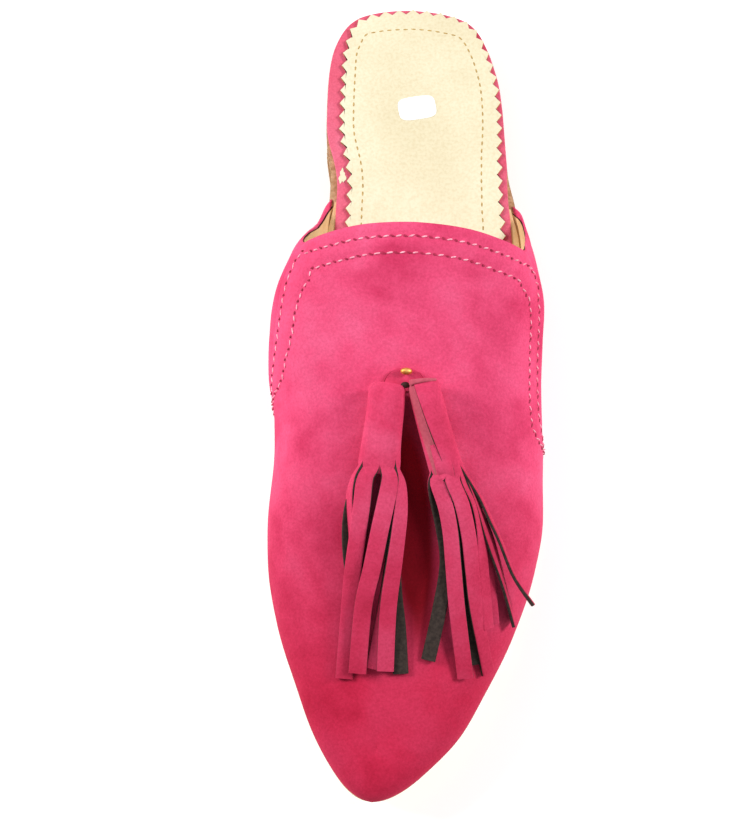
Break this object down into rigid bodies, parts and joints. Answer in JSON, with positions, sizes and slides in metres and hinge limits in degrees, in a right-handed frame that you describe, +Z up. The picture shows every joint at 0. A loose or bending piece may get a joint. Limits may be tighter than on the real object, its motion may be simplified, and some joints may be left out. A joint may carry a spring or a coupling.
{
  "type": "babouche slipper",
  "caption": "Pointed backless suede slipper with a layered low wedge sole, a topstitched vamp and fringed tassels.",
  "frame": {"origin": "middle of the bottom of the whole slipper's box, on the floor under the shank", "axes": "+Y towards the heel, -Y towards the toe, +X towards the outer side of the foot, +Z up"},
  "size_m": [0.088, 0.2652, 0.066],
  "materials": {
    "suede": "napped fuchsia suede",
    "cream_leather": "smooth cream lining leather",
    "brown_leather": "burnished leather edge",
    "tan_fibre": "sanded fibre board edge",
    "crepe_rubber": "ribbed matt rubber",
    "brass": "polished"
  },
  "bodies": {
    "root": {"outsole": "crepe_rubber", "midsole_lower": "brown_leather", "heel_wedge": "tan_fibre", "midsole_upper": "brown_leather", "insole_board": "suede", "sock": "cream_leather", "upper": "suede", "tassel_medial": "suede", "tassel_lateral": "suede", "tassel_patch": "suede", "bead": "brass"}
  },
  "joints": []
}
